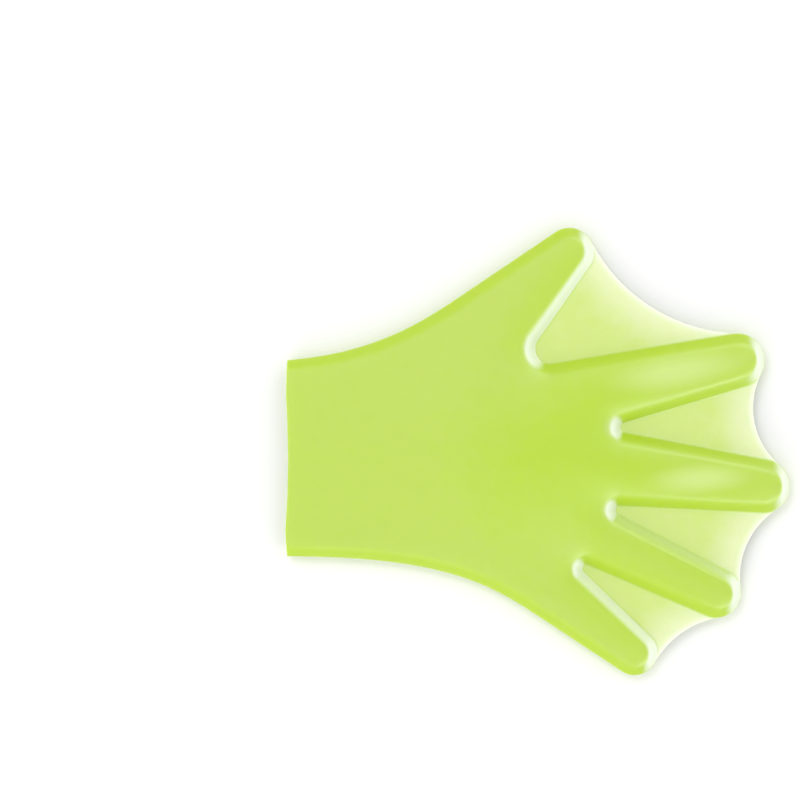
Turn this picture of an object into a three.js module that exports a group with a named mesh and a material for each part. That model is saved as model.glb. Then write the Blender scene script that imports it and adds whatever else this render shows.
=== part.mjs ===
import * as THREE from "three";
import { mergeVertices } from "three/addons/utils/BufferGeometryUtils.js";

// A webbed swim glove, moulded in one piece from soft silicone. It lies on its palm side with the
// back of the hand up: X runs from the cuff to the fingertips, the thumb points to +Y, and Z is up.
// The cuff, the hand and five blind finger sleeves are one hollow wall. Four thin solid webs in the
// parting plane of the mould join the sleeves. Sizes are in millimetres.

const gloveLength = 206; // rim of the cuff to the tip of the middle finger
const gloveSpan = 182; // thumb tip to little fingertip, across the spread hand
const cuffWidth = 80; // flat width of the wrist opening
const cuffShift = -2.8; // middle of the wrist opening, to the side of the middle of the span
const rimDip = 2; // how far the rim is scooped in between its two corners
const rimCorner = 1.5; // rounding of those corners, seen from above
const wall = 1.5; // silicone round the hand and the fingers
const webThickness = 1.1; // the membranes between the fingers
const partingHeight = 6.5; // middle of the webs above the surface that the glove lies on
const knuckleRise = 12; // top of the back of the hand above the webs
const tipRise = 5; // top of a fingertip, and of the cuff, above the webs
const knuckleReach = 95; // distance from the knuckles' crest at which the back is down to tipRise
const handReach = 50; // how far inside the webs the back of the hand has its full rise
const fingertipRadius = 11; // the index fingertip, seen from above
const crotchRadius = 2; // the inner end of the narrow webs, seen from above
const webEdgeRadius = 33; // the scooped outer edge of a web
const shoulder = 4.4; // width of the flank along the webs, round the tips and along the free sides
const flankPart = 0.7; // share of tipRise that the flank takes, with the gentle crown above it
const flankCurve = 1.5; // 1 makes the flank straight and 2 rounds it over its whole width
const crownReach = 10; // how far inside its outline a finger has its full height
const crownBlend = 4; // rounding of the ridge where the crown comes up from both sides
const filletShare = 0.2; // height of the fillet at the foot of a flank, as a share of the flank
const filletReach = 0.6; // how far that fillet runs out over the web

// The crest of the knuckles, as shares of the length from the rim and of the span from its middle.
const knuckleCrest = { x: 0.5, y: 0.02 };

// Fingertips: the centre as shares of the length and the span, the radius as a share of
// fingertipRadius.
const fingers = [
  { name: "thumb", x: 0.564, y: 0.445, radius: 0.91 },
  { name: "index", x: 0.897, y: 0.203, radius: 1 },
  { name: "middle", x: 0.948, y: -0.078, radius: 0.98 },
  { name: "ring", x: 0.855, y: -0.317, radius: 0.91 },
  { name: "little", x: 0.693, y: -0.45, radius: 0.84 },
];

// Webs, each between a finger and the next one: the centre of the round inner end as shares of the
// length and the span, its radius as a share of crotchRadius, and the radius of the outer edge as a
// share of webEdgeRadius.
const webs = [
  { x: 0.526, y: 0.229, crotch: 3.1, edge: 2.1 },
  { x: 0.674, y: 0.053, crotch: 1.03, edge: 0.92 },
  { x: 0.663, y: -0.131, crotch: 0.93, edge: 1 },
  { x: 0.598, y: -0.262, crotch: 0.9, edge: 1.1 },
];

// Free sides, along the thumb and along the little finger: how far the straight flank runs back
// from the fingertip and how far the two ends of the curve to the cuff pull, as shares of the
// length, and the directions of the flank and of the cuff's side, in degrees.
const sides = [
  { straight: 0.21, flankPull: 0.1, cuffPull: 0.18, flankAngle: 34, cuffAngle: 4.5 },
  { straight: 0.2, flankPull: 0.11, cuffPull: 0.31, flankAngle: -33.4, cuffAngle: 0 },
];

// Mesh steps. A finger and a web have these places across, from -1 to 1. The hand and the fingers
// have rows at these shares of their free length. The rows near the row of crotches lie at shares of
// the shoulder before it and of the fillet's reach behind it, and those near the outer edge at shares
// of the shoulder.
const fingerSteps = [-1, -0.93, -0.8, -0.6, -0.32, 0, 0.32, 0.6, 0.8, 0.93, 1];
const webSteps = [-1, -0.76, -0.4, 0, 0.4, 0.76, 1];
const handShares = [0, 0.16, 0.34, 0.52, 0.68, 0.84];
const crotchShares = [1.4, 0.95, 0.6, 0.32, 0.12, 0];
const innerCrotchShares = [1, 0.5, 0.17, 0];
const footShares = [1.1, 3];
const fingerShares = [0.1, 0.28, 0.46, 0.64, 0.82, 1];
const edgeShares = [1, 0.62, 0.35, 0.15, 0.05, 0];
const innerFingerShares = [0, 0.33, 0.67, 1];
const innerEdgeShares = [1, 0.55, 0.25, 0.07, 0];

const arcStep = THREE.MathUtils.degToRad(3);
const sideSteps = 40;

const bearing = ({ x, y }) => Math.atan2(y, x);
const heading = (angle) => new THREE.Vector2(Math.cos(angle), Math.sin(angle));
const leftOf = (angle) => new THREE.Vector2(-Math.sin(angle), Math.cos(angle));
const along = (point, direction, distance) => point.clone().addScaledVector(direction, distance);
const place = ({ x, y }) => new THREE.Vector2(x * gloveLength, y * gloveSpan);
const sharesOf = (length, shares) => shares.map((share) => share * length);

const crotchDistances = sharesOf(shoulder, crotchShares);
const innerCrotchDistances = sharesOf(shoulder - wall, innerCrotchShares);
const footDistances = sharesOf(filletReach, footShares);
const edgeDistances = sharesOf(shoulder, edgeShares);
const innerEdgeDistances = sharesOf(shoulder - wall, innerEdgeShares);

// Plan of the glove

const tips = fingers.map((finger) => ({
  centre: place(finger),
  radius: finger.radius * fingertipRadius,
}));

// The straight edge of a finger, as seen from above, touches the fingertip on one side and the
// round end of the web on the other. Side 1 is the edge with the finger on its left.
function fingerEdge(crotch, radius, tip, side) {
  const span = tip.centre.clone().sub(crotch);
  const angle = bearing(span) - side * Math.asin((tip.radius + radius) / span.length());
  return { angle, point: along(crotch, leftOf(angle), side * radius) };
}

// The outer edge of a web is an arc that touches both fingertips from outside.
function webEdge(first, second, radius) {
  const span = second.centre.clone().sub(first.centre);
  const reach = first.radius + radius;
  const farReach = second.radius + radius;
  const step = (reach ** 2 - farReach ** 2 + span.lengthSq()) / (2 * span.length());
  const out = Math.sqrt(reach ** 2 - step ** 2);
  const angle = bearing(span);
  const centre = along(along(first.centre, heading(angle), step), leftOf(angle), out);
  return { centre, radius };
}

const crotches = webs.map((web, i) => {
  const centre = place(web);
  const radius = web.crotch * crotchRadius;
  const upper = fingerEdge(centre, radius, tips[i], 1);
  const lower = fingerEdge(centre, radius, tips[i + 1], -1);
  const edge = webEdge(tips[i], tips[i + 1], web.edge * webEdgeRadius);
  return { centre, radius, upper, lower, edge };
});

// The rim seen from above: scooped in, with round corners.
function rimX(y) {
  const half = cuffWidth / 2;
  const aside = Math.abs(y - cuffShift);
  const intoCorner = THREE.MathUtils.clamp((aside - half + rimCorner) / rimCorner, 0, 1);
  const dip = rimDip * (1 - Math.min(1, aside / (half - rimCorner)) ** 2);
  return dip + rimCorner * (1 - Math.sqrt(1 - intoCorner ** 2));
}

// A free side: a curve from the corner of the cuff to the flank, then straight to the fingertip.
function freeSide(side, tip, sign) {
  const flank = THREE.MathUtils.degToRad(side.flankAngle);
  const start = THREE.MathUtils.degToRad(side.cuffAngle);
  const cornerY = cuffShift + (sign * cuffWidth) / 2;
  const corner = new THREE.Vector2(rimX(cornerY), cornerY);
  const touch = along(tip.centre, leftOf(flank), sign * tip.radius);
  const knuckle = along(touch, heading(flank), -side.straight * gloveLength);
  const curve = new THREE.CubicBezierCurve(
    corner,
    along(corner, heading(start), side.cuffPull * gloveLength),
    along(knuckle, heading(flank), -side.flankPull * gloveLength),
    knuckle,
  );
  return { angle: flank, knuckle, touch, curve, sign };
}

const thumbSide = freeSide(sides[0], tips[0], 1);
const littleSide = freeSide(sides[1], tips[tips.length - 1], -1);

function arcPoints(centre, radius, from, to) {
  const count = Math.max(2, Math.ceil(Math.abs(to - from) / arcStep));
  return Array.from({ length: count + 1 }, (_, i) =>
    along(centre, heading(from + ((to - from) * i) / count), radius),
  );
}

// The wavy outline from the thumb's free side, over tips and webs, to the little finger's.
function outerOutline() {
  const points = [thumbSide.touch];
  const addArc = (...arc) => points.push(...arcPoints(...arc).slice(1));
  let from = thumbSide.angle + Math.PI / 2;
  tips.forEach((tip, i) => {
    const crotch = crotches[i];
    const to = crotch
      ? bearing(crotch.edge.centre.clone().sub(tip.centre))
      : littleSide.angle - Math.PI / 2;
    addArc(tip.centre, tip.radius, from, from - turn(from - to));
    if (!crotch) return;
    const next = tips[i + 1];
    const leave = to + Math.PI;
    const arrive = bearing(next.centre.clone().sub(crotch.edge.centre));
    const end = leave + turn(arrive - leave);
    addArc(crotch.edge.centre, crotch.edge.radius, leave, end);
    from = arrive + Math.PI;
  });
  return points;
}

// An angle brought between 0 and a full turn.
function turn(angle) {
  return THREE.MathUtils.euclideanModulo(angle, 2 * Math.PI);
}

// How far a ray from a point runs before it leaves through the line of points.
function rayLength(point, angle, line) {
  const direction = heading(angle);
  let best = Infinity;
  for (let i = 1; i < line.length; i++) {
    const a = line[i - 1].clone().sub(point);
    const b = line[i].clone().sub(point);
    const sideA = direction.cross(a);
    const sideB = direction.cross(b);
    if (sideA * sideB > 0 || sideA === sideB) continue;
    const share = sideA / (sideA - sideB);
    const distance = direction.dot(a) + share * direction.dot(b.sub(a));
    if (distance > 0) best = Math.min(best, distance);
  }
  return best;
}

const outline = outerOutline();

// Heights over the plan

// Distances from the four webs, positive on the hand and the fingers. A web is a wedge with a round
// inner end.
function distancesFromWebs(p) {
  return crotches.map(({ centre, radius, upper, lower }) => {
    const middle = (upper.angle + lower.angle) / 2;
    const half = (upper.angle - lower.angle) / 2;
    const q = p.clone().sub(centre).rotateAround(new THREE.Vector2(), -middle);
    const flank = heading(half);
    const aside = new THREE.Vector2(q.x, Math.abs(q.y));
    const outside = aside.dot(flank) < 0 ? aside.length() : flank.cross(aside);
    return outside - radius;
  });
}

function distanceToLine(p, line) {
  let best = Infinity;
  for (let i = 1; i < line.length; i++) {
    const step = line[i].clone().sub(line[i - 1]);
    const offset = p.clone().sub(line[i - 1]);
    const share = THREE.MathUtils.clamp(offset.dot(step) / step.lengthSq(), 0, 1);
    best = Math.min(best, offset.addScaledVector(step, -share).length());
  }
  return best;
}

const sideLines = [thumbSide, littleSide].map((side) => [
  ...side.curve.getPoints(sideSteps),
  side.touch,
]);

const axes = tips.map((tip, i) => {
  const above = i === 0 ? thumbSide.angle : crotches[i - 1].lower.angle;
  const below = i === tips.length - 1 ? littleSide.angle : crotches[i].upper.angle;
  return (above + below) / 2;
});

// Distance inside the hollow form, whose outline runs along the webs, the free sides and the tips.
function distanceInside(p) {
  const fromSides = sideLines.map((line) => distanceToLine(p, line));
  const fromTips = tips.map((tip, i) => {
    const q = p.clone().sub(tip.centre);
    return q.dot(heading(axes[i])) > 0 && q.length() < 2 * tip.radius
      ? tip.radius - q.length()
      : Infinity;
  });
  return Math.min(...distancesFromWebs(p), ...fromSides, ...fromTips);
}

// The same distance with its ridges rounded over.
function smoothDistance(p) {
  const fromOutline = [...sideLines, outline].map((line) => distanceToLine(p, line));
  const distances = [...distancesFromWebs(p), ...fromOutline];
  const sum = distances.reduce((total, d) => total + Math.exp(-d / crownBlend), 0);
  return -crownBlend * Math.log(sum);
}

const raised = (share, power) => 1 - (1 - THREE.MathUtils.clamp(share, 0, 1)) ** power;

const flankRise = flankPart * tipRise;

// Rise of the back above the top of the flanks: a gentle crown, and a broad bell over the knuckles.
function crownRise(p) {
  const inside = smoothDistance(p);
  const share = Math.min(1, p.distanceTo(place(knuckleCrest)) / knuckleReach);
  const bell = Math.cos((share * Math.PI) / 2) ** 2;
  return (
    (tipRise - flankRise) * raised(inside / crownReach, 2) +
    (knuckleRise - tipRise) * bell * raised(inside / handReach, 2)
  );
}

// Share of the full rise on a flank, with a fillet at its foot.
function flankShare(distance) {
  const flank = raised((distance + filletReach) / (shoulder + filletReach), flankCurve);
  const rise = (1 + filletShare) * flank - filletShare;
  const near = Math.max(filletShare - Math.abs(rise), 0);
  return Math.max(rise, 0) + near ** 2 / (4 * filletShare);
}

function outerHeights(p, onEdge) {
  const share = onEdge ? 0 : flankShare(distanceInside(p));
  const crown = onEdge ? 0 : crownRise(p);
  const sheet = webThickness / 2;
  return [
    partingHeight + sheet + flankRise * share + crown,
    partingHeight - sheet - (partingHeight - sheet) * share,
  ];
}

function innerHeights(p) {
  const share = raised((distanceInside(p) - wall) / (shoulder - wall), flankCurve);
  return [
    partingHeight + (webThickness / 2 + flankRise + crownRise(p) - wall) * share,
    partingHeight - (partingHeight - wall) * share,
  ];
}

// Grid over the plan. The columns start at the rim, run through the row of crotches and go on as
// straight rays to the outer edge. Down the hand, guide columns end at the crotches and run along
// the free sides, and the other columns of a finger are spread between two of them.

function columnStarts(inset) {
  const columns = [];
  tips.forEach((tip, i) => {
    const above = crotches[i - 1];
    const below = crotches[i];
    const upper = above ? above.lower : { angle: thumbSide.angle, point: thumbSide.knuckle };
    const lower = below ? below.upper : { angle: littleSide.angle, point: littleSide.knuckle };
    const first = along(upper.point, leftOf(upper.angle), -inset);
    const last = along(lower.point, leftOf(lower.angle), inset);
    fingerSteps.forEach((step) => {
      const share = (step + 1) / 2;
      columns.push({
        point: first.clone().lerp(last, share),
        angle: THREE.MathUtils.lerp(upper.angle, lower.angle, share),
        finger: i,
        share,
        bank: Math.abs(step) === 1,
      });
    });
    if (!below) return;
    const from = below.upper.angle + Math.PI / 2;
    const to = below.lower.angle + (3 * Math.PI) / 2;
    webSteps.slice(1, -1).forEach((step) => {
      const share = (step + 1) / 2;
      const direction = heading(THREE.MathUtils.lerp(from, to, share));
      columns.push({
        point: along(below.centre, direction, below.radius + inset),
        angle: THREE.MathUtils.lerp(below.upper.angle, below.lower.angle, share),
        bank: true,
      });
    });
  });
  let travelled = 0;
  columns.forEach((column, i) => {
    if (i > 0) travelled += column.point.distanceTo(columns[i - 1].point);
    column.travelled = travelled;
  });
  columns.forEach((column) => {
    const y = cuffShift + (cuffWidth / 2 - inset) * (1 - (2 * column.travelled) / travelled);
    column.start = new THREE.Vector2(rimX(y), y);
  });
  return columns;
}

// A guide column ends at a crotch, in the direction of the middle of that web.
function guideCurve({ start, point }) {
  const nearest = crotches.reduce((best, crotch) =>
    point.distanceTo(crotch.centre) < point.distanceTo(best.centre) ? crotch : best,
  );
  const angle = (nearest.upper.angle + nearest.lower.angle) / 2;
  const pull = 0.35 * start.distanceTo(point);
  return new THREE.CubicBezierCurve(
    start,
    along(start, heading(0), pull),
    along(point, heading(angle), -pull),
    point,
  );
}

function guidePoints(column, side, inset, distances) {
  const curve = side ? side.curve : guideCurve(column);
  const length = curve.getLength();
  const free = 1 - distances[0] / length;
  const shares = [
    ...handShares.map((share) => share * free),
    ...distances.map((distance) => 1 - distance / length),
  ];
  return shares.map((share) => {
    const point = curve.getPointAt(share);
    if (!side) return point;
    return along(point, leftOf(bearing(curve.getTangentAt(share))), -side.sign * inset);
  });
}

const lastColumn = columnStarts(0).length - 1;
const sideOf = (index) => (index === 0 ? thumbSide : index === lastColumn ? littleSide : null);

// Points down the hand, column by column, from the rim to the row of crotches.
function handGrid(columns, inset, distances) {
  const grid = columns.map((column, i) =>
    column.bank ? guidePoints(column, sideOf(i), inset, distances) : null,
  );
  return columns.map(({ finger, share }, i) => {
    if (grid[i]) return grid[i];
    const first = columns.findIndex((column) => column.finger === finger);
    const upper = grid[first];
    const lower = grid[first + fingerSteps.length - 1];
    return upper.map((point, j) => point.clone().lerp(lower[j], share));
  });
}

function rayPoints(column, length, near, shares, far) {
  const first = near.length ? near[near.length - 1] : 0;
  const free = length - far[0] - first;
  const distances = [
    ...near,
    ...shares.map((share) => first + share * free),
    ...far.slice(1).map((distance) => length - distance),
  ];
  return distances.map((distance) => along(column.point, heading(column.angle), distance));
}

function outerGrid() {
  const columns = columnStarts(0);
  const hand = handGrid(columns, 0, crotchDistances);
  return columns.map((column, i) => {
    const side = sideOf(i);
    const length = side
      ? side.touch.distanceTo(side.knuckle)
      : rayLength(column.point, column.angle, outline);
    return [...hand[i], ...rayPoints(column, length, footDistances, fingerShares, edgeDistances)];
  });
}

// Assembly

const corners = [];
const triangles = [];

function vertex(point, z) {
  corners.push(point.x, point.y, z);
  return corners.length / 3 - 1;
}

const rise = (i) => Math.abs(corners[3 * i + 2] - partingHeight);

// A cell is split along the diagonal that stands further from the parting plane. That keeps the
// rounded flanks full, and folds no flap flat where a hollow closes.
function quad(a, b, c, d) {
  if (rise(a) + rise(c) >= rise(b) + rise(d)) triangles.push(a, c, b, a, d, c);
  else triangles.push(b, d, c, b, a, d);
}

// Joins two rows of vertices. Up says which way the faces look.
function joinRows(first, second, up) {
  for (let i = 1; i < first.length; i++) {
    if (up) quad(first[i - 1], second[i - 1], second[i], first[i]);
    else quad(first[i - 1], first[i], second[i], second[i - 1]);
  }
}

function joinSheet(sheet, up) {
  for (let i = 1; i < sheet.length; i++) joinRows(sheet[i - 1], sheet[i], !up);
}

const outerPlan = outerGrid();
const rowCount = outerPlan[0].length;
const [outerTop, outerBottom] = [0, 1].map((level) =>
  outerPlan.map((points, i) =>
    points.map((p, j) => vertex(p, outerHeights(p, sideOf(i) || j === rowCount - 1)[level])),
  ),
);
joinSheet(outerTop, true);
joinSheet(outerBottom, false);

// The blunt edge all round, from the cuff's corner over the tips to its other corner.
const rimToRim = (sheet) => [
  ...sheet[0],
  ...sheet.slice(1, -1).map((column) => column[rowCount - 1]),
  ...sheet[lastColumn].slice().reverse(),
];
joinRows(rimToRim(outerTop), rimToRim(outerBottom), true);

// The hollow of the hand, with a round bank where it meets a free side or the inner end of a web.
const innerColumns = columnStarts(wall);
const innerHand = handGrid(innerColumns, wall, innerCrotchDistances);

function innerSheets(plan, onBank) {
  return [0, 1].map((level) =>
    plan.map((points, i) =>
      points.map((p, j) => vertex(p, onBank(i, j) ? partingHeight : innerHeights(p)[level])),
    ),
  );
}

const lastHandRow = innerHand[0].length - 1;
const [innerTop, innerBottom] = innerSheets(
  innerHand,
  (i, j) => sideOf(i) !== null || (j === lastHandRow && innerColumns[i].bank),
);
joinSheet(innerTop, false);
joinSheet(innerBottom, true);

// The five finger hollows.
tips.forEach((tip, finger) => {
  const strip = innerColumns.filter((column) => column.finger === finger);
  const from = axes[finger] + Math.PI / 2;
  const line = arcPoints(tip.centre, tip.radius - wall, from + 0.2, from - Math.PI - 0.2);
  const plan = strip.map((column, i) => {
    const bank = i === 0 || i === strip.length - 1;
    const length = bank
      ? tip.centre.clone().sub(column.point).dot(heading(column.angle))
      : rayLength(column.point, column.angle, line);
    return rayPoints(column, length, [], innerFingerShares, innerEdgeDistances);
  });
  const lastRow = plan[0].length - 1;
  const [top, bottom] = innerSheets(
    plan,
    (i, j) => i === 0 || i === strip.length - 1 || j === lastRow,
  );
  joinSheet(top, false);
  joinSheet(bottom, true);
});

// The rim joins the outside to the hollow.
const rimRow = (sheet) => sheet.map((column) => column[0]);
joinRows(rimRow(outerTop), rimRow(innerTop), false);
joinRows(rimRow(innerBottom), rimRow(outerBottom), false);
[0, lastColumn].forEach((i) => {
  const face = [outerTop[i][0], innerTop[i][0], outerBottom[i][0]];
  triangles.push(...(i === 0 ? face.reverse() : face));
});

const raw = new THREE.BufferGeometry();
raw.setAttribute("position", new THREE.Float32BufferAttribute(corners, 3));
raw.setIndex(triangles);
const geometry = mergeVertices(raw, 1e-3);
geometry.computeBoundingBox();
const middle = geometry.boundingBox.getCenter(new THREE.Vector3());
geometry.translate(-middle.x, -middle.y, -geometry.boundingBox.min.z);
geometry.computeVertexNormals();

const silicone = new THREE.MeshStandardMaterial({
  color: 0xb4e04a,
  roughness: 0.42,
  metalness: 0,
  side: THREE.DoubleSide,
});

const glove = new THREE.Mesh(geometry, silicone);
glove.name = "webbed_glove";

const part = new THREE.Group();
part.add(glove);

export default part;
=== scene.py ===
import math

import bpy
import numpy as np
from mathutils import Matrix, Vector


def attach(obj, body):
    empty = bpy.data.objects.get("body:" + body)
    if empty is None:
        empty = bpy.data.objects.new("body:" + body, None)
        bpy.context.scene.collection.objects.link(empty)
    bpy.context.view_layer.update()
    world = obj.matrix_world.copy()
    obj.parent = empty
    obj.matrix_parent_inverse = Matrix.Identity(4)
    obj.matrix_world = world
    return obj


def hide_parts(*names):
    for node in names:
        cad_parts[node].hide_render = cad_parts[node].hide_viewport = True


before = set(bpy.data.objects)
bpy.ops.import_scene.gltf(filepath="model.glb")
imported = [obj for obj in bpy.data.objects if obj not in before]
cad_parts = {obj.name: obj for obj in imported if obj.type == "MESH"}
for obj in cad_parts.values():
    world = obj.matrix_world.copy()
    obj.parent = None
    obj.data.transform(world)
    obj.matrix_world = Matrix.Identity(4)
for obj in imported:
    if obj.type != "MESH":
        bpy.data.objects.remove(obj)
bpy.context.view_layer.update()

scene = bpy.context.scene
mm = 0.001
print("frame loaded")


def linear(hexCode):
    # sRGB hex to the linear colour that the nodes take
    values = [int(hexCode[i:i + 2], 16) / 255 for i in (1, 3, 5)]
    return [v / 12.92 if v <= 0.04045 else ((v + 0.055) / 1.055) ** 2.4 for v in values] + [1.0]


def addNode(tree, kind, inputs=None, **settings):
    node = tree.nodes.new(kind)
    for name, value in settings.items():
        setattr(node, name, value)
    for key, value in (inputs or {}).items():
        if isinstance(value, bpy.types.NodeSocket):
            tree.links.new(value, node.inputs[key])
        else:
            node.inputs[key].default_value = value
    return node


# The glove, in mm. Plan points are complex numbers, x + y i: x runs from the rim to the fingertips,
# and y from the middle of the span towards the thumb.
gloveSizes = {
    "length": 206.0,          # rim to the tip of the middle finger
    "span": 182.0,            # thumb tip to little fingertip
    "cuffWidth": 80.0,
    "cuffShift": -2.8,        # the cuff lies this far off the middle, towards the little finger
    "rimDip": 2.0,            # the rim is scooped in between its corners
    "rimCorner": 1.5,
    "rimRound": 0.5,
    "wall": 1.5,
    "webThickness": 1.1,
    "partingHeight": 6.5,     # middle of the webs above the floor
    "knuckleRise": 12.0,      # top of the back of the hand above the webs
    "tipRise": 5.0,           # the same over a fingertip
    "knuckleReach": 95.0,     # how far the raised back of the hand spreads from its crest
    "handReach": 50.0,        # and it comes up over this distance from the sides
    "knuckleCrest": (0.5, 0.02),      # as shares of the length and the span
    "fingertipRadius": 11.0,
    "crotchRadius": 2.0,
    "webEdgeRadius": 33.0,
    "shoulder": 4.4,          # width of the flank along webs, tips and free sides
    "flankPart": 0.7,         # share of tipRise that the flank takes
    "flankCurve": 1.5,
    "crownReach": 10.0,       # the gentle crown comes up over this distance from the sides
    "crownBlend": 4.0,        # rounds the ridges where two crowns meet
    "filletShare": 0.2,       # hollow curve at the foot of the flank
    "filletReach": 0.6,
    # centre as shares of the length and the span, radius as a share of fingertipRadius
    "fingers": [
        (0.564, 0.445, 0.91),     # thumb
        (0.897, 0.203, 1.0),      # index
        (0.948, -0.078, 0.98),    # middle
        (0.855, -0.317, 0.91),    # ring
        (0.693, -0.45, 0.84),     # little
    ],
    # centre of the inner end, its radius and the outer edge's radius as shares of theirs
    "webs": [
        (0.526, 0.229, 3.1, 2.1),
        (0.674, 0.053, 1.03, 0.92),
        (0.663, -0.131, 0.93, 1.0),
        (0.598, -0.262, 0.9, 1.1),
    ],
    # straight flank and the two pulls of the curve as shares of the length, then two directions
    "sides": [
        (0.21, 0.1, 0.18, 34.0, 4.5),
        (0.2, 0.11, 0.31, -33.4, 0.0),
    ],
}

# How finely the flat sheets are cut: distances in mm, and shares of what is left between them.
meshSteps = {
    "fingerSteps": np.sin(np.linspace(-1, 1, 27) * math.pi / 2),
    "webSteps": np.sin(np.linspace(-1, 1, 17) * math.pi / 2),
    "rimDistances": [0.0, 0.04, 0.14, 0.28, 0.5, 1.2],
    "handShares": np.linspace(0, 1, 29)[1:-1],
    "crotchDistances": [8.0, 6.6, 5.4, 4.4, 3.6, 2.9, 2.2, 1.6, 1.1, 0.65, 0.3, 0.1, 0.0],
    "footDistances": [0.2, 0.5, 0.9, 1.5],
    "fingerShares": np.linspace(0, 1, 34)[1:],
    "edgeDistances": [5.4, 4.4, 3.6, 2.9, 2.25, 1.7, 1.2, 0.8, 0.5, 0.28, 0.12, 0.03, 0.0],
    "innerHandShares": np.linspace(0, 1, 16)[1:-1],
    "innerCrotchDistances": [4.5, 3.6, 2.9, 2.2, 1.5, 1.0, 0.5, 0.2, 0.0],
    "innerFingerShares": np.linspace(0, 1, 14),
    "innerEdgeDistances": [4.0, 2.9, 2.2, 1.5, 1.0, 0.55, 0.25, 0.08, 0.0],
    "lineSteps": 160,
    "arcStep": 1.0,               # degrees
    "rowPull": 0.35,              # pulls a row straight at the cuff and the crotch, as a share of its span
    "capOverrun": 0.2,            # radians that a sleeve's round end runs on to catch every row
    "mergeDistance": 0.002,       # where the back and the palm side meet
}


def heading(angle):
    return np.exp(1j * angle)


def leftOf(angle):
    return 1j * np.exp(1j * angle)


def place(share):
    return share[0] * gloveSizes["length"] + 1j * share[1] * gloveSizes["span"]


def fingerEdge(crotch, radius, tip, side):
    # touches the fingertip on one side and the round end of the web on the other
    span = tip[0] - crotch
    angle = np.angle(span) - side * math.asin((tip[1] + radius) / abs(span))
    return angle, crotch + side * radius * leftOf(angle)


def webEdge(first, second, radius):
    # an arc that touches both fingertips from outside
    span = second[0] - first[0]
    reach = first[1] + radius
    farReach = second[1] + radius
    step = (reach ** 2 - farReach ** 2 + abs(span) ** 2) / (2 * abs(span))
    out = math.sqrt(reach ** 2 - step ** 2)
    angle = np.angle(span)
    return first[0] + step * heading(angle) + out * leftOf(angle)


def curveLine(a, b, c, d):
    t = np.linspace(0, 1, meshSteps["lineSteps"] + 1)
    return (1 - t) ** 3 * a + 3 * (1 - t) ** 2 * t * b + 3 * (1 - t) * t ** 2 * c + t ** 3 * d


def lineLength(line):
    return np.abs(np.diff(line)).sum()


def pointsAlong(line, shares, inset=0.0):
    # points at shares of the line's length, moved to the left by the inset
    travelled = np.concatenate([[0], np.cumsum(np.abs(np.diff(line)))])
    at = np.asarray(shares) * travelled[-1]
    points = np.interp(at, travelled, line.real) + 1j * np.interp(at, travelled, line.imag)
    slope = np.gradient(line)
    slope = slope / np.abs(slope)
    turned = 1j * (np.interp(at, travelled, slope.real) + 1j * np.interp(at, travelled, slope.imag))
    return points + inset * turned


def arcLine(centre, radius, start, end):
    count = max(2, math.ceil(abs(end - start) / math.radians(meshSteps["arcStep"])))
    return centre + radius * heading(np.linspace(start, end, count + 1))


def rimX(y):
    half = gloveSizes["cuffWidth"] / 2
    corner = gloveSizes["rimCorner"]
    aside = abs(y - gloveSizes["cuffShift"])
    intoCorner = min(max((aside - half + corner) / corner, 0), 1)
    dip = gloveSizes["rimDip"] * (1 - min(1, aside / (half - corner)) ** 2)
    return dip + corner * (1 - math.sqrt(1 - intoCorner ** 2))


def planGlove():
    plan = {}
    radius = gloveSizes["fingertipRadius"]
    tips = [(place(f), f[2] * radius) for f in gloveSizes["fingers"]]
    crotches = []
    for i, web in enumerate(gloveSizes["webs"]):
        centre = place(web)
        inner = web[2] * gloveSizes["crotchRadius"]
        outer = web[3] * gloveSizes["webEdgeRadius"]
        crotches.append({
            "centre": centre,
            "radius": inner,
            "upper": fingerEdge(centre, inner, tips[i], 1),
            "lower": fingerEdge(centre, inner, tips[i + 1], -1),
            "edge": (webEdge(tips[i], tips[i + 1], outer), outer),
        })
    sides = []
    for sign, side, tip in ((1, gloveSizes["sides"][0], tips[0]), (-1, gloveSizes["sides"][1], tips[-1])):
        straight, flankPull, cuffPull, flankAngle, cuffAngle = side
        flank = math.radians(flankAngle)
        y = gloveSizes["cuffShift"] + sign * gloveSizes["cuffWidth"] / 2
        corner = rimX(y) + 1j * y
        touch = tip[0] + sign * tip[1] * leftOf(flank)
        knuckle = touch - straight * gloveSizes["length"] * heading(flank)
        pull = cuffPull * gloveSizes["length"] * heading(math.radians(cuffAngle))
        back = flankPull * gloveSizes["length"] * heading(flank)
        curve = curveLine(corner, corner + pull, knuckle - back, knuckle)
        sides.append({"angle": flank, "touch": touch, "knuckle": knuckle, "curve": curve, "sign": sign})
    plan["tips"] = tips
    plan["crotches"] = crotches
    plan["sides"] = sides

    # the wavy outline, over tips and webs
    pieces = [[sides[0]["touch"]]]
    start = sides[0]["angle"] + math.pi / 2
    for i, tip in enumerate(tips):
        if i < len(crotches):
            centre, outer = crotches[i]["edge"]
            end = np.angle(centre - tip[0])
        else:
            end = sides[1]["angle"] - math.pi / 2
        pieces.append(arcLine(tip[0], tip[1], start, start - (start - end) % (2 * math.pi))[1:])
        if i < len(crotches):
            arrive = np.angle(tips[i + 1][0] - centre)
            leave = end + math.pi
            pieces.append(arcLine(centre, outer, leave, leave + (arrive - leave) % (2 * math.pi))[1:])
            start = arrive + math.pi
    plan["outline"] = np.concatenate(pieces)

    plan["axes"] = []
    for i in range(len(tips)):
        above = sides[0]["angle"] if i == 0 else crotches[i - 1]["lower"][0]
        below = sides[1]["angle"] if i == len(tips) - 1 else crotches[i]["upper"][0]
        plan["axes"].append((above + below) / 2)
    return plan


plan = planGlove()


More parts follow.
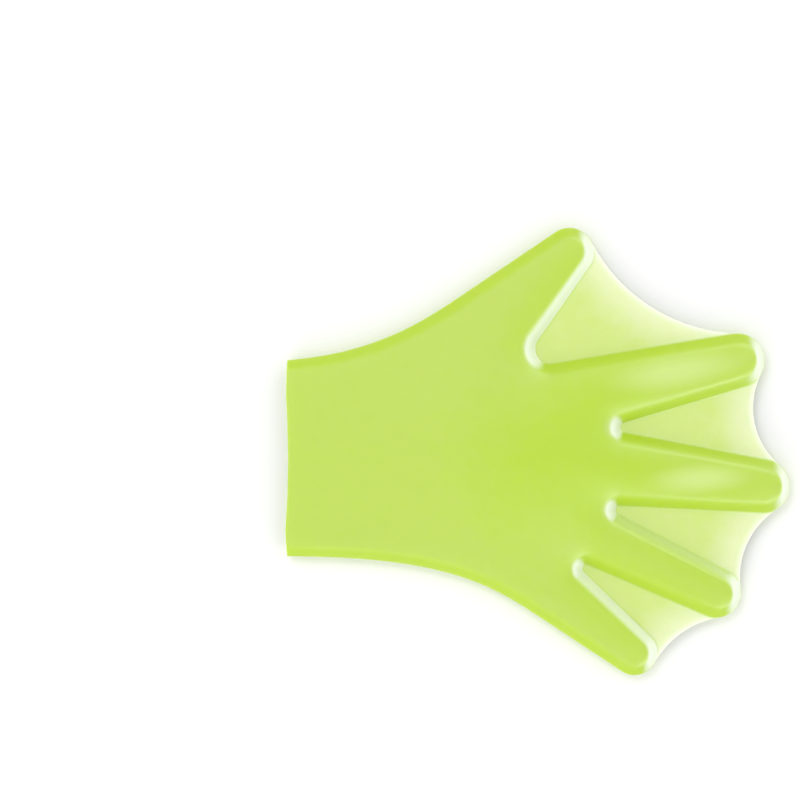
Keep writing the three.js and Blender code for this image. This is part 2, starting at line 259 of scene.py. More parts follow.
def rayLength(point, angle, line):
    # how far a ray runs before it leaves through the line
    turned = (line - point) * heading(-angle)
    a, b = turned[:-1], turned[1:]
    crossing = (a.imag * b.imag <= 0) & (a.imag != b.imag)
    a, b = a[crossing], b[crossing]
    distance = a.real + a.imag / (a.imag - b.imag) * (b.real - a.real)
    return distance[distance > 0].min()


def distanceToLine(points, line):
    a, b = line[:-1], line[1:]
    span = b - a
    flat = points.reshape(-1)
    best = np.full(flat.shape, np.inf)
    for start, step in zip(a, span):
        share = np.clip(((flat - start) * np.conj(step)).real / abs(step) ** 2, 0, 1)
        best = np.minimum(best, np.abs(flat - start - share * step))
    return best.reshape(points.shape)


def distancesFromWebs(points):
    # negative on a web, which is a wedge with a round inner end
    distances = []
    for crotch in plan["crotches"]:
        middle = (crotch["upper"][0] + crotch["lower"][0]) / 2
        half = (crotch["upper"][0] - crotch["lower"][0]) / 2
        q = (points - crotch["centre"]) * heading(-middle)
        q = q.real + 1j * np.abs(q.imag)
        turned = q * heading(-half)
        outside = np.where(turned.real < 0, np.abs(q), turned.imag)
        distances.append(outside - crotch["radius"])
    return distances


def distancesOverPlan(points):
    # from the webs, inside the hollow form, the same with its ridges rounded, and from the outline
    webs = distancesFromWebs(points)
    sides = [distanceToLine(points, np.append(side["curve"], side["touch"])) for side in plan["sides"]]
    wavy = distanceToLine(points, plan["outline"])
    inside = np.minimum.reduce(webs + sides)
    for tip, axis in zip(plan["tips"], plan["axes"]):
        q = points - tip[0]
        beyond = ((q * heading(-axis)).real > 0) & (np.abs(q) < 2 * tip[1])
        inside = np.where(beyond, np.minimum(inside, tip[1] - np.abs(q)), inside)
    blend = gloveSizes["crownBlend"]
    soft = -blend * np.log(sum(np.exp(-d / blend) for d in webs + sides + [wavy]))
    return {
        "fromWebs": np.minimum.reduce(webs),
        "inside": inside,
        "soft": soft,
        "fromOutline": np.minimum.reduce(sides + [wavy]),
        "fromRim": distanceFromRim(points),
    }


def distanceFromRim(points):
    rim = np.array([rimX(y) for y in points.imag.reshape(-1)]).reshape(points.shape)
    return np.maximum(points.real - rim, 0)


def sideBeside(columns, i):
    # the first and the last column run along the free sides
    if i == 0:
        return plan["sides"][0]
    return plan["sides"][1] if i == len(columns) - 1 else None


def columnStarts(inset):
    # columns run from the rim through the row of crotches and on as straight rays
    columns = []
    tips, crotches, sides = plan["tips"], plan["crotches"], plan["sides"]
    for i in range(len(tips)):
        upper = crotches[i - 1]["lower"] if i else (sides[0]["angle"], sides[0]["knuckle"])
        lower = crotches[i]["upper"] if i < len(crotches) else (sides[1]["angle"], sides[1]["knuckle"])
        first = upper[1] - inset * leftOf(upper[0])
        last = lower[1] + inset * leftOf(lower[0])
        for step in meshSteps["fingerSteps"]:
            share = (step + 1) / 2
            columns.append({
                "point": first + (last - first) * share,
                "angle": upper[0] + (lower[0] - upper[0]) * share,
                "finger": i,
                "share": share,
                "bank": abs(step) > 1 - 1e-9,
            })
        if i == len(crotches):
            break
        crotch = crotches[i]
        start = crotch["upper"][0] + math.pi / 2
        end = crotch["lower"][0] + 1.5 * math.pi
        for step in meshSteps["webSteps"][1:-1]:
            share = (step + 1) / 2
            toPoint = heading(start + (end - start) * share)
            columns.append({
                "point": crotch["centre"] + (crotch["radius"] + inset) * toPoint,
                "angle": crotch["upper"][0] + (crotch["lower"][0] - crotch["upper"][0]) * share,
                "finger": None,
                "bank": True,
            })
    points = np.array([column["point"] for column in columns])
    travelled = np.concatenate([[0], np.cumsum(np.abs(np.diff(points)))])
    for column, share in zip(columns, travelled / travelled[-1]):
        y = gloveSizes["cuffShift"] + (gloveSizes["cuffWidth"] / 2 - inset) * (1 - 2 * share)
        column["start"] = rimX(y) + 1j * y
    return columns


def handGrid(columns, inset, shares, distances):
    distances = np.array(distances)
    grid = [None] * len(columns)
    for i, column in enumerate(columns):
        if not column["bank"]:
            continue
        side = sideBeside(columns, i)
        if side:
            line = side["curve"]
        else:
            nearest = min(plan["crotches"], key=lambda crotch: abs(column["point"] - crotch["centre"]))
            angle = (nearest["upper"][0] + nearest["lower"][0]) / 2
            start, end = column["start"], column["point"]
            pull = meshSteps["rowPull"] * abs(end - start)
            line = curveLine(start, start + pull, end - pull * heading(angle), end)
        length = lineLength(line)
        rim = np.array(meshSteps["rimDistances"])
        free = length - distances[0] - rim[-1]
        at = np.concatenate([rim, rim[-1] + shares * free, length - distances]) / length
        grid[i] = pointsAlong(line, at, -side["sign"] * inset if side else 0.0)
    last = len(meshSteps["fingerSteps"]) - 1
    for i, column in enumerate(columns):
        if grid[i] is None:
            first = next(k for k, other in enumerate(columns) if other["finger"] == column["finger"])
            grid[i] = grid[first] + (grid[first + last] - grid[first]) * column["share"]
    return np.array(grid)


def rayRow(column, length, near, shares, far):
    first = near[-1] if len(near) else 0.0
    free = length - far[0] - first
    at = np.concatenate([near, first + np.array(shares) * free, length - np.array(far[1:])])
    return column["point"] + at * heading(column["angle"])


planAttributes = ("fromWebs", "inside", "soft", "fromOutline", "fromRim", "hollow", "back")


class GlovePlan:
    # flat sheets of the glove: their points, their faces and what the height rule reads
    def __init__(self):
        self.points = []
        self.faces = []
        self.data = {name: [] for name in planAttributes}
        self.count = 0

    def add(self, points, back, hollow, onEdge):
        values = distancesOverPlan(points)
        if hollow:
            values["inside"][onEdge] = gloveSizes["wall"]
        else:
            values["inside"][onEdge] = np.minimum(values["inside"][onEdge], 0.0)
            values["fromOutline"][onEdge] = 0.0
        values["hollow"] = np.full(points.shape, float(hollow))
        values["back"] = np.full(points.shape, float(back))
        for name in planAttributes:
            self.data[name].append(values[name].reshape(-1))
        self.points.append(points.reshape(-1))
        indices = self.count + np.arange(points.size).reshape(points.shape)
        self.count += points.size
        return indices

    def join(self, indices, lookUp):
        a, b = indices[:-1, :-1], indices[:-1, 1:]
        c, d = indices[1:, 1:], indices[1:, :-1]
        quads = np.stack([a, d, c, b] if lookUp else [a, b, c, d], axis=-1)
        self.faces.extend(quads.reshape(-1, 4).tolist())


def layGlove():
    sheet = GlovePlan()
    steps = meshSteps
    columns = columnStarts(0.0)
    hand = handGrid(columns, 0.0, steps["handShares"], steps["crotchDistances"])
    fingers = []
    for i, column in enumerate(columns):
        side = sideBeside(columns, i)
        if side:
            length = abs(side["touch"] - side["knuckle"])
        else:
            length = rayLength(column["point"], column["angle"], plan["outline"])
        row = rayRow(column, length, steps["footDistances"], steps["fingerShares"], steps["edgeDistances"])
        fingers.append(row)
    outer = np.concatenate([hand, np.array(fingers)], axis=1)
    edge = np.zeros(outer.shape, bool)
    edge[0] = edge[-1] = True
    edge[:, -1] = True
    outerBack = sheet.add(outer, True, False, edge)
    outerPalm = sheet.add(outer, False, False, edge)
    sheet.join(outerBack, False)
    sheet.join(outerPalm, True)

    wall = gloveSizes["wall"]
    inColumns = columnStarts(wall)
    inHand = handGrid(inColumns, wall, steps["innerHandShares"], steps["innerCrotchDistances"])
    bank = np.zeros(inHand.shape, bool)
    bank[0] = bank[-1] = True
    bank[:, -1] = [column["bank"] for column in inColumns]
    innerBack = sheet.add(inHand, True, True, bank)
    innerPalm = sheet.add(inHand, False, True, bank)
    sheet.join(innerBack, True)
    sheet.join(innerPalm, False)
    for i, (tip, axis) in enumerate(zip(plan["tips"], plan["axes"])):
        strip = [column for column in inColumns if column["finger"] == i]
        turn = math.pi / 2 + steps["capOverrun"]
        cap = arcLine(tip[0], tip[1] - wall, axis + turn, axis - turn)
        rows = []
        for column in strip:
            if column["bank"]:
                length = ((tip[0] - column["point"]) * heading(-column["angle"])).real
            else:
                length = rayLength(column["point"], column["angle"], cap)
            rows.append(rayRow(column, length, [], steps["innerFingerShares"], steps["innerEdgeDistances"]))
        rows = np.array(rows)
        bank = np.zeros(rows.shape, bool)
        bank[0] = bank[-1] = True
        bank[:, -1] = True
        sheet.join(sheet.add(rows, True, True, bank), True)
        sheet.join(sheet.add(rows, False, True, bank), False)

    # the rim joins the outside to the hollow
    sheet.join(np.stack([outerBack[:, 0], innerBack[:, 0]], axis=1), True)
    sheet.join(np.stack([outerPalm[:, 0], innerPalm[:, 0]], axis=1), False)
    return sheet


def flatMesh(sheet, middle):
    points = np.concatenate(sheet.points) - middle
    mesh = bpy.data.meshes.new("glovePlan")
    corners = np.stack([points.real, points.imag, np.zeros(points.size)], axis=1) * mm
    mesh.from_pydata(corners.tolist(), [], sheet.faces)
    for name, parts in sheet.data.items():
        values = np.concatenate(parts)
        layer = mesh.attributes.new(name, "FLOAT", "POINT")
        scale = 1.0 if name in ("hollow", "back") else mm
        layer.data.foreach_set("value", (values * scale).astype(np.float32))
    return mesh


# Height of every point of the flat sheets, by the rule of the mould: a thin sheet in the parting
# plane, and on it the hollow hand with domed flanks. Each row is result, operation, inputs. A row
# that ends in None, True is clamped to the range from 0 to 1.
heightRule = [
    ("halfWeb", "MULTIPLY", "Web thickness", 0.5),
    ("edgeShare", "DIVIDE", "fromOutline", "halfWeb", None, True),
    ("edgeLeft", "SUBTRACT", 1.0, "edgeShare"),
    ("edgeDrop", "POWER", "edgeLeft", 2.0),
    ("edgeDome", "SUBTRACT", 1.0, "edgeDrop"),
    ("edgeRound", "SQRT", "edgeDome", 0.0),
    ("sheet", "MULTIPLY", "halfWeb", "edgeRound"),

    ("flankIn", "ADD", "inside", "Fillet reach"),
    ("flankWidth", "ADD", "Shoulder", "Fillet reach"),
    ("flankShare", "DIVIDE", "flankIn", "flankWidth", None, True),
    ("flankLeft", "SUBTRACT", 1.0, "flankShare"),
    ("flankDrop", "POWER", "flankLeft", "Flank curve"),
    ("flankDome", "SUBTRACT", 1.0, "flankDrop"),
    ("filletUp", "ADD", 1.0, "Fillet share"),
    ("flankTall", "MULTIPLY", "filletUp", "flankDome"),
    ("flankOver", "SUBTRACT", "flankTall", "Fillet share"),
    ("flankFlat", "MAXIMUM", "flankOver", 0.0),
    ("flankSize", "ABSOLUTE", "flankOver", 0.0),
    ("filletGap", "SUBTRACT", "Fillet share", "flankSize"),
    ("filletNear", "MAXIMUM", "filletGap", 0.0),
    ("filletSquare", "POWER", "filletNear", 2.0),
    ("filletFour", "MULTIPLY", "Fillet share", 4.0),
    ("filletLift", "DIVIDE", "filletSquare", "filletFour"),
    ("flankFull", "ADD", "flankFlat", "filletLift"),
    ("flank", "MULTIPLY", "flankFull", "edgeRound"),

    ("flankRise", "MULTIPLY", "Tip rise", "Flank part"),
    ("crownGain", "SUBTRACT", "Tip rise", "flankRise"),
    ("crownShare", "DIVIDE", "soft", "Crown reach", None, True),
    ("crownLeft", "SUBTRACT", 1.0, "crownShare"),
    ("crownDrop", "POWER", "crownLeft", 2.0),
    ("crownDome", "SUBTRACT", 1.0, "crownDrop"),
    ("crestShare", "DIVIDE", "fromCrest", "Knuckle reach"),
    ("crestStop", "MINIMUM", "crestShare", 1.0),
    ("crestAngle", "MULTIPLY", "crestStop", math.pi / 2),
    ("crestWave", "COSINE", "crestAngle", 0.0),
    ("crestBell", "POWER", "crestWave", 2.0),
    ("handShare", "DIVIDE", "soft", "Hand reach", None, True),
    ("handLeft", "SUBTRACT", 1.0, "handShare"),
    ("handDrop", "POWER", "handLeft", 2.0),
    ("handDome", "SUBTRACT", 1.0, "handDrop"),
    ("handGain", "SUBTRACT", "Knuckle rise", "Tip rise"),
    ("handBell", "MULTIPLY", "handGain", "crestBell"),
    ("handRise", "MULTIPLY", "handBell", "handDome"),
    ("crown", "MULTIPLY_ADD", "crownGain", "crownDome", "handRise"),

    ("rimShare", "DIVIDE", "fromRim", "Rim round", None, True),
    ("rimLeft", "SUBTRACT", 1.0, "rimShare"),
    ("rimSquare", "POWER", "rimLeft", 2.0),
    ("rimDome", "SUBTRACT", 1.0, "rimSquare"),
    ("rimCurve", "SQRT", "rimDome", 0.0),
    ("rimOff", "SUBTRACT", 1.0, "rimCurve"),
    ("rimDrop", "MULTIPLY", "rimOff", "Rim round"),

    ("flankHere", "SUBTRACT", "flankRise", "rimDrop"),
    ("flankUp", "MULTIPLY_ADD", "flankHere", "flank", "crown"),
    ("outerBack", "ADD", "flankUp", "sheet"),
    ("palmDepth", "SUBTRACT", "Parting height", "sheet"),
    ("palmHere", "SUBTRACT", "palmDepth", "rimDrop"),
    ("outerPalm", "MULTIPLY_ADD", "palmHere", "flank", "sheet"),

    ("wallIn", "SUBTRACT", "inside", "Wall"),
    ("wallWidth", "SUBTRACT", "Shoulder", "Wall"),
    ("wallShare", "DIVIDE", "wallIn", "wallWidth", None, True),
    ("wallLeft", "SUBTRACT", 1.0, "wallShare"),
    ("wallDrop", "POWER", "wallLeft", "Flank curve"),
    ("innerShare", "SUBTRACT", 1.0, "wallDrop"),
    ("innerRise", "ADD", "flankRise", "crown"),
    ("innerLess", "SUBTRACT", "innerRise", "Wall"),
    ("innerTop", "ADD", "innerLess", "halfWeb"),
    ("innerFlare", "ADD", "innerTop", "rimDrop"),
    ("innerBack", "MULTIPLY", "innerFlare", "innerShare"),
    ("innerDepth", "SUBTRACT", "Parting height", "Wall"),
    ("palmFlare", "ADD", "innerDepth", "rimDrop"),
    ("innerPalm", "MULTIPLY", "palmFlare", "innerShare"),

    ("outerOff", "SUBTRACT", 1.0, "hollow"),
    ("backPart", "MULTIPLY", "outerBack", "outerOff"),
    ("backAll", "MULTIPLY_ADD", "innerBack", "hollow", "backPart"),
    ("palmPart", "MULTIPLY", "outerPalm", "outerOff"),
    ("palmAll", "MULTIPLY_ADD", "innerPalm", "hollow", "palmPart"),
    ("palmOff", "SUBTRACT", 1.0, "back"),
    ("upPart", "MULTIPLY_ADD", "backAll", "back", "Parting height"),
    ("downPart", "MULTIPLY", "palmAll", "palmOff"),
    ("height", "SUBTRACT", "upPart", "downPart"),
]

mouldLengths = {
    "Web thickness": gloveSizes["webThickness"],
    "Wall": gloveSizes["wall"],
    "Parting height": gloveSizes["partingHeight"],
    "Knuckle rise": gloveSizes["knuckleRise"],
    "Tip rise": gloveSizes["tipRise"],
    "Knuckle reach": gloveSizes["knuckleReach"],
    "Hand reach": gloveSizes["handReach"],
    "Crown reach": gloveSizes["crownReach"],
    "Shoulder": gloveSizes["shoulder"],
    "Fillet reach": gloveSizes["filletReach"],
    "Rim round": gloveSizes["rimRound"],
}
mouldShares = {
    "Fillet share": gloveSizes["filletShare"],
    "Flank part": gloveSizes["flankPart"],
    "Flank curve": gloveSizes["flankCurve"],
}


def mouldTree(material):
    tree = bpy.data.node_groups.new("mouldRule", "GeometryNodeTree")
    face = tree.interface
    face.new_socket("Sheets", in_out="INPUT", socket_type="NodeSocketGeometry")
    for name in [*mouldLengths, *mouldShares]:
        face.new_socket(name, in_out="INPUT", socket_type="NodeSocketFloat")
    face.new_socket("Knuckle crest", in_out="INPUT", socket_type="NodeSocketVector")
    face.new_socket("Glove", in_out="OUTPUT", socket_type="NodeSocketGeometry")
    source = addNode(tree, "NodeGroupInput")
    known = {socket.name: socket for socket in source.outputs if socket.name}
    for name in planAttributes:
        known[name] = addNode(tree, "GeometryNodeInputNamedAttribute", {
            "Name": name,
        }, data_type="FLOAT").outputs[0]
    spot = addNode(tree, "GeometryNodeInputPosition").outputs[0]
    known["fromCrest"] = addNode(tree, "ShaderNodeVectorMath", {
        0: spot, 1: known["Knuckle crest"],
    }, operation="DISTANCE").outputs["Value"]
    for name, operation, *values in heightRule:
        clamp = len(values) == 4
        inputs = {}
        for i, value in enumerate(values[:3]):
            if value is not None:
                inputs[i] = known[value] if isinstance(value, str) else value
        step = addNode(tree, "ShaderNodeMath", inputs, operation=operation, use_clamp=clamp)
        known[name] = step.outputs[0]
    lift = addNode(tree, "ShaderNodeCombineXYZ", {"Z": known["height"]}).outputs[0]
    raised = addNode(tree, "GeometryNodeSetPosition", {
        "Geometry": known["Sheets"], "Offset": lift,
    }).outputs[0]
    merged = addNode(tree, "GeometryNodeMergeByDistance", {
        "Geometry": raised, "Distance": meshSteps["mergeDistance"] * mm,
    }).outputs[0]
    smooth = addNode(tree, "GeometryNodeSetShadeSmooth", {"Geometry": merged}).outputs[0]
    real = addNode(tree, "GeometryNodeRealizeInstances", {"Geometry": smooth}).outputs[0]
    done = addNode(tree, "GeometryNodeSetMaterial", {"Geometry": real, "Material": material}).outputs[0]
    addNode(tree, "NodeGroupOutput", {"Glove": done})
    return tree


# Silicone rubber, moulded in a satin steel mould: matte and milky, with a broad soft gloss. Light
# gets through it, so it is paler where it is thin. Painted shade: its green is deeper over the knuckles
# and in the folds by the webs. Painted highlights: pale patches on two fingers and a near-white band on the
# flanks that face the fingertips. Lengths are in mm.
siliconeFinish = {
    "bodyColour": "#b6cf52",
    # painted shade: a deeper green over the knuckles and in the folds
    "paintedShadeColour": "#b0cf1c",
    "webColour": "#c9dd7c",
    "webRimColour": "#dbe6b6",
    # painted highlight on the tops of two fingers
    "fingerHighlightColour": "#c9e084",
    # near white: painted highlight on the flanks that face the fingertips, and the webs' outer edge
    "highlightAndWebEdgeColour": "#e8f1da",
    "cloudSize": 6.0,             # pigment that isn't stirred in evenly
    "cloudRange": (0.3, 0.7),
    "cloudShift": 0.12,
    "shadeMiddle": (0.6, 0.0),     # middle of the painted shade over the knuckles, as shares of the length and the span
    "shadeHeight": 15.0,           # above the floor
    "shadeReach": 78.0,            # the painted shade fades out this far from its middle
    "flankFade": (2.0, 6.0),      # and over this stretch from the foot of a flank
    "crotchFade": (2.0, 22.0),    # and this one from the webs
    # strength of the painted shade in the folds
    "foldShadeStrength": 0.7,
    # painted highlights, soft pale patches along two fingers: place as shares, turn in degrees, half
    # length, half width
    "paintedHighlightPatches": [
        ((0.775, 0.178), 10.0, 36.0, 9.0),
        ((0.82, -0.06), 3.0, 26.0, 7.5),
    ],
    "patchHeight": 14.0,
    "patchDepth": 50.0,
    "patchFade": (0.1, 1.0),      # as shares of the patch
    "patchStrength": 0.8,
    "highlightAcross": (0.22, 0.62),  # the painted highlight comes up as the surface turns towards the fingertips
    "highlightUp": (0.3, 0.62),       # and upwards
    "highlightStrength": 0.85,
    "webFoot": (-0.9, 0.5),       # the hand's green meets the web's over this stretch
    "webFade": 20.0,              # the webs turn pale over this width towards their outer edge
    "webEdge": (0.2, 3.0),        # and nearly white over this one
    "webEdgeStrength": 0.85,
    "roughness": 0.47,
    "ior": 1.41,
    "lightInside": 0.6,           # share of the light that goes into the silicone
    "lightReach": 2.5,
    "lightTint": (0.9, 1.0, 0.35),    # how far red, green and blue get, as shares of lightReach
    "grainSize": 0.5,             # satin of the mould, drawn coarser than it is so that it shows
    "grainBump": 0.1,
    "grainDepth": 0.05,
}


def siliconeMaterial(middle):
    material = bpy.data.materials.new("mouldedSilicone")
    material.use_nodes = True
    tree = material.node_tree
    tree.nodes.clear()
    finish = siliconeFinish
    colour = {name: linear(finish[name]) for name in finish if name.endswith("Colour")}
    surface = addNode(tree, "ShaderNodeTexCoord").outputs
    coords = surface["Object"]
    inside = addNode(tree, "ShaderNodeAttribute", attribute_name="inside").outputs["Fac"]
    fromOutline = addNode(tree, "ShaderNodeAttribute", attribute_name="fromOutline").outputs["Fac"]
    fromWebs = addNode(tree, "ShaderNodeAttribute", attribute_name="fromWebs").outputs["Fac"]

    clouds = addNode(tree, "ShaderNodeTexNoise", {
        "Vector": coords, "Scale": 1 / (finish["cloudSize"] * mm), "Detail": 4.0, "Roughness": 0.65,
    }).outputs["Fac"]
    cloudShift = addNode(tree, "ShaderNodeMapRange", {
        "Value": clouds,
        "From Min": finish["cloudRange"][0], "From Max": finish["cloudRange"][1],
        "To Min": -finish["cloudShift"], "To Max": finish["cloudShift"],
    }).outputs[0]

    # painted shade: a deeper green over the knuckles
    shadeSpot = place(finish["shadeMiddle"]) - middle
    fromShadeSpot = addNode(tree, "ShaderNodeVectorMath", {
        0: coords, 1: (shadeSpot.real * mm, shadeSpot.imag * mm, finish["shadeHeight"] * mm),
    }, operation="DISTANCE").outputs["Value"]
    knuckleShade = addNode(tree, "ShaderNodeMapRange", {
        "Value": fromShadeSpot,
        "From Min": 0.0, "From Max": finish["shadeReach"] * mm,
        "To Min": 1.0, "To Max": 0.0,
    }, interpolation_type="SMOOTHERSTEP").outputs[0]

    # and painted shade in the folds, at the foot of the flanks and by the webs
    flankShare = addNode(tree, "ShaderNodeMapRange", {
        "Value": inside,
        "From Min": finish["flankFade"][0] * mm, "From Max": finish["flankFade"][1] * mm,
        "To Min": finish["foldShadeStrength"], "To Max": 0.0,
    }, interpolation_type="SMOOTHSTEP").outputs[0]
    crotchShare = addNode(tree, "ShaderNodeMapRange", {
        "Value": fromWebs,
        "From Min": finish["crotchFade"][0] * mm, "From Max": finish["crotchFade"][1] * mm,
        "To Min": finish["foldShadeStrength"], "To Max": 0.0,
    }, interpolation_type="SMOOTHSTEP").outputs[0]
    paintedFoldShade = addNode(tree, "ShaderNodeMath", {
        0: crotchShare, 1: flankShare,
    }, operation="MAXIMUM").outputs[0]
    paintedShadePart = addNode(tree, "ShaderNodeMath", {
        0: knuckleShade, 1: paintedFoldShade,
    }, operation="MAXIMUM").outputs[0]
    shadeAndCloudShare = addNode(tree, "ShaderNodeMath", {
        0: paintedShadePart, 1: cloudShift,
    }, operation="ADD", use_clamp=True).outputs[0]
    body = addNode(tree, "ShaderNodeMix", {
        "Factor": shadeAndCloudShare, 6: colour["bodyColour"], 7: colour["paintedShadeColour"],
    }, data_type="RGBA").outputs[2]

    # painted highlights: pale patches on top of two fingers
    for spot, turn, length, width in finish["paintedHighlightPatches"]:
        at = place(spot) - middle
        patch = addNode(tree, "ShaderNodeMapping", {
            "Vector": coords,
            "Location": (at.real * mm, at.imag * mm, finish["patchHeight"] * mm),
            "Rotation": (0.0, 0.0, math.radians(turn)),
            "Scale": (length * mm, width * mm, finish["patchDepth"] * mm),
        }, vector_type="TEXTURE").outputs[0]
        reach = addNode(tree, "ShaderNodeVectorMath", {0: patch}, operation="LENGTH").outputs["Value"]
        patchHighlight = addNode(tree, "ShaderNodeMapRange", {
            "Value": reach,
            "From Min": finish["patchFade"][0], "From Max": finish["patchFade"][1],
            "To Min": finish["patchStrength"], "To Max": 0.0,
        }, interpolation_type="SMOOTHSTEP").outputs[0]
        body = addNode(tree, "ShaderNodeMix", {
            "Factor": patchHighlight, 6: body, 7: colour["fingerHighlightColour"],
        }, data_type="RGBA").outputs[2]

    # flanks that face the fingertips carry a painted highlight, a nearly white band
    facing = addNode(tree, "ShaderNodeSeparateXYZ", {"Vector": surface["Normal"]}).outputs
    highlightAcross = addNode(tree, "ShaderNodeMapRange", {
        "Value": facing["X"],
        "From Min": finish["highlightAcross"][0], "From Max": finish["highlightAcross"][1],
        "To Min": 0.0, "To Max": 1.0,
    }, interpolation_type="SMOOTHSTEP").outputs[0]
    highlightUp = addNode(tree, "ShaderNodeMapRange", {
        "Value": facing["Z"],
        "From Min": finish["highlightUp"][0], "From Max": finish["highlightUp"][1],
        "To Min": 0.0, "To Max": finish["highlightStrength"],
    }, interpolation_type="SMOOTHSTEP").outputs[0]
    highlightShare = addNode(tree, "ShaderNodeMath", {
        0: highlightAcross, 1: highlightUp,
    }, operation="MULTIPLY").outputs[0]

    # webs: thin, so paler, and nearly white at their outer edge
    pale = addNode(tree, "ShaderNodeMapRange", {
        "Value": fromOutline,
        "From Min": 0.0, "From Max": finish["webFade"] * mm,
        "To Min": 1.0, "To Max": 0.0,
    }, interpolation_type="SMOOTHSTEP").outputs[0]
    palePart = addNode(tree, "ShaderNodeMath", {
        0: pale, 1: cloudShift,
    }, operation="ADD", use_clamp=True).outputs[0]
    web = addNode(tree, "ShaderNodeMix", {
        "Factor": palePart, 6: colour["webColour"], 7: colour["webRimColour"],
    }, data_type="RGBA").outputs[2]
    edgeLine = addNode(tree, "ShaderNodeMapRange", {
        "Value": fromOutline,
        "From Min": finish["webEdge"][0] * mm, "From Max": finish["webEdge"][1] * mm,
        "To Min": finish["webEdgeStrength"], "To Max": 0.0,
    }, interpolation_type="SMOOTHSTEP").outputs[0]
    web = addNode(tree, "ShaderNodeMix", {
        "Factor": edgeLine, 6: web, 7: colour["highlightAndWebEdgeColour"],
    }, data_type="RGBA").outputs[2]

    # the hand's colour and the webs' meet at the foot of the flanks, under the painted highlight
    onWeb = addNode(tree, "ShaderNodeMapRange", {
        "Value": inside,
        "From Min": finish["webFoot"][0] * mm, "From Max": finish["webFoot"][1] * mm,
        "To Min": 1.0, "To Max": 0.0,
    }, interpolation_type="SMOOTHSTEP").outputs[0]
    plain = addNode(tree, "ShaderNodeMix", {
        "Factor": onWeb, 6: body, 7: web,
    }, data_type="RGBA").outputs[2]
    base = addNode(tree, "ShaderNodeMix", {
        "Factor": highlightShare, 6: plain, 7: colour["highlightAndWebEdgeColour"],
    }, data_type="RGBA").outputs[2]

    grain = addNode(tree, "ShaderNodeTexNoise", {
        "Vector": coords, "Scale": 1 / (finish["grainSize"] * mm), "Detail": 2.0,
    }).outputs["Fac"]
    bump = addNode(tree, "ShaderNodeBump", {
        "Height": grain, "Strength": finish["grainBump"], "Distance": finish["grainDepth"] * mm,
    }).outputs[0]
    shader = addNode(tree, "ShaderNodeBsdfPrincipled", {
        "Base Color": base,
        "Roughness": finish["roughness"],
        "IOR": finish["ior"],
        "Subsurface Weight": finish["lightInside"],
        "Subsurface Radius": finish["lightTint"],
        "Subsurface Scale": finish["lightReach"] * mm,
        "Normal": bump,
    }).outputs[0]
    addNode(tree, "ShaderNodeOutputMaterial", {"Surface": shader})
    return material


def makeGlove():
    sheet = layGlove()
    points = np.concatenate(sheet.points)
    middleX = (points.real.min() + points.real.max()) / 2
    middleY = (points.imag.min() + points.imag.max()) / 2
    middle = middleX + 1j * middleY
    material = siliconeMaterial(middle)
    tree = mouldTree(material)
    piece = bpy.data.objects.new("gloveMoulding", flatMesh(sheet, middle))
    scene.collection.objects.link(piece)
    modifier = piece.modifiers.new("mouldRule", "NODES")
    modifier.node_group = tree
    sockets = {item.name: item.identifier for item in tree.interface.items_tree if item.in_out == "INPUT"}
    for name, value in mouldLengths.items():
        modifier[sockets[name]] = value * mm
    for name, value in mouldShares.items():
        modifier[sockets[name]] = value
    crest = place(gloveSizes["knuckleCrest"]) - middle
    modifier[sockets["Knuckle crest"]] = (crest.real * mm, crest.imag * mm, 0.0)
    bpy.context.view_layer.update()
    evaluated = piece.evaluated_get(bpy.context.evaluated_depsgraph_get())
    mesh = bpy.data.meshes.new_from_object(evaluated)
    piece.modifiers.clear()
    piece.data = mesh
    mesh.name = "gloveMoulding"
    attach(piece, "root")
    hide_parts("webbed_glove")
    print("glove moulded:", len(mesh.vertices), "vertices", len(mesh.polygons), "faces")


makeGlove()


# Floor, light and camera, in metres and watts
def floorMaterial():
    # matt white paper, so that nothing but the glove shines
    material = bpy.data.materials.new("paperFloor")
    material.use_nodes = True
    shader = material.node_tree.nodes["Principled BSDF"]
    shader.inputs["Base Color"].default_value = linear("#f4f4f4")
    shader.inputs["Roughness"].default_value = 0.9
    shader.inputs["Specular IOR Level"].default_value = 0.1
    return material


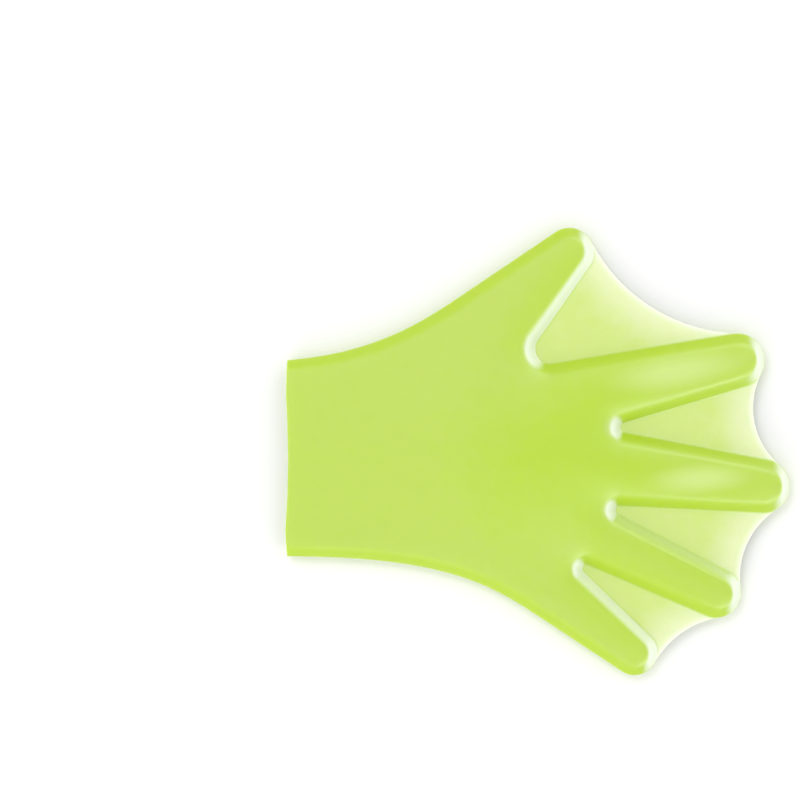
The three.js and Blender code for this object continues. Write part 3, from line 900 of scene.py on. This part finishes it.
studio = {
    "floorSize": 60.0,                # reaches nearly to the horizon in low views
    "worldStrength": 1.0,
    "softboxes": [
        # name, place, width, height, power, colour, seen by gloss alone
        ("rightStrip", (0.9, 0.04, 0.1), 1.9, 0.2, 23.0, "#dadcff", True),
        ("farStreak", (0.4, 0.62, 0.66), 0.6, 0.3, 10.0, "#eeeeff", True),
        ("nearStreak", (0.45, -0.62, 0.66), 0.6, 0.3, 14.0, "#eeeeff", True),
        ("overhead", (-0.35, 0.45, 1.1), 0.5, 0.5, 2.8, "#ffffff", False),
        ("leftFill", (-0.4, -0.85, 0.4), 0.8, 0.5, 2.0, "#ffffff", False),
    ],
    "millimetresPerPixel": 0.407,
    "pictureSize": 800,
    "glovePixel": (538.0, 451.5),     # where the middle of the glove lies in the picture
    "cameraHeight": 0.95,
    "sensorWidth": 36.0,              # mm
}


def setStudio():
    half = studio["floorSize"] / 2
    mesh = bpy.data.meshes.new("floor")
    corners = [(-half, -half, 0), (half, -half, 0), (half, half, 0), (-half, half, 0)]
    mesh.from_pydata(corners, [], [(0, 1, 2, 3)])
    mesh.materials.append(floorMaterial())
    floor = bpy.data.objects.new("floor", mesh)
    scene.collection.objects.link(floor)

    world = bpy.data.worlds.new("studioWorld")
    world.use_nodes = True
    sky = world.node_tree.nodes["Background"]
    sky.inputs["Color"].default_value = linear("#ffffff")
    sky.inputs["Strength"].default_value = studio["worldStrength"]
    scene.world = world

    for name, spot, width, height, power, tint, glossOnly in studio["softboxes"]:
        lamp = bpy.data.lights.new(name, "AREA")
        lamp.shape = "RECTANGLE"
        lamp.size = width
        lamp.size_y = height
        lamp.energy = power
        lamp.color = linear(tint)[:3]
        box = bpy.data.objects.new(name, lamp)
        box.location = spot
        box.rotation_euler = (-Vector(spot)).to_track_quat("-Z", "Y").to_euler()
        box.visible_diffuse = not glossOnly
        scene.collection.objects.link(box)

    camera = bpy.data.cameras.new("camera")
    camera.sensor_width = studio["sensorWidth"]
    step = studio["millimetresPerPixel"] * mm
    level = gloveSizes["partingHeight"] * mm      # the scale is true at the height of the webs
    pictureWidth = studio["pictureSize"] * step
    camera.lens = studio["sensorWidth"] * (studio["cameraHeight"] - level) / pictureWidth
    eye = bpy.data.objects.new("camera", camera)
    pixelX, pixelY = studio["glovePixel"]
    centre = studio["pictureSize"] / 2
    eye.location = ((centre - pixelX) * step, (pixelY - centre) * step, studio["cameraHeight"])
    scene.collection.objects.link(eye)
    scene.camera = eye
    scene.view_settings.view_transform = "Standard"
    print("studio set, lens", round(camera.lens, 1))


setStudio()
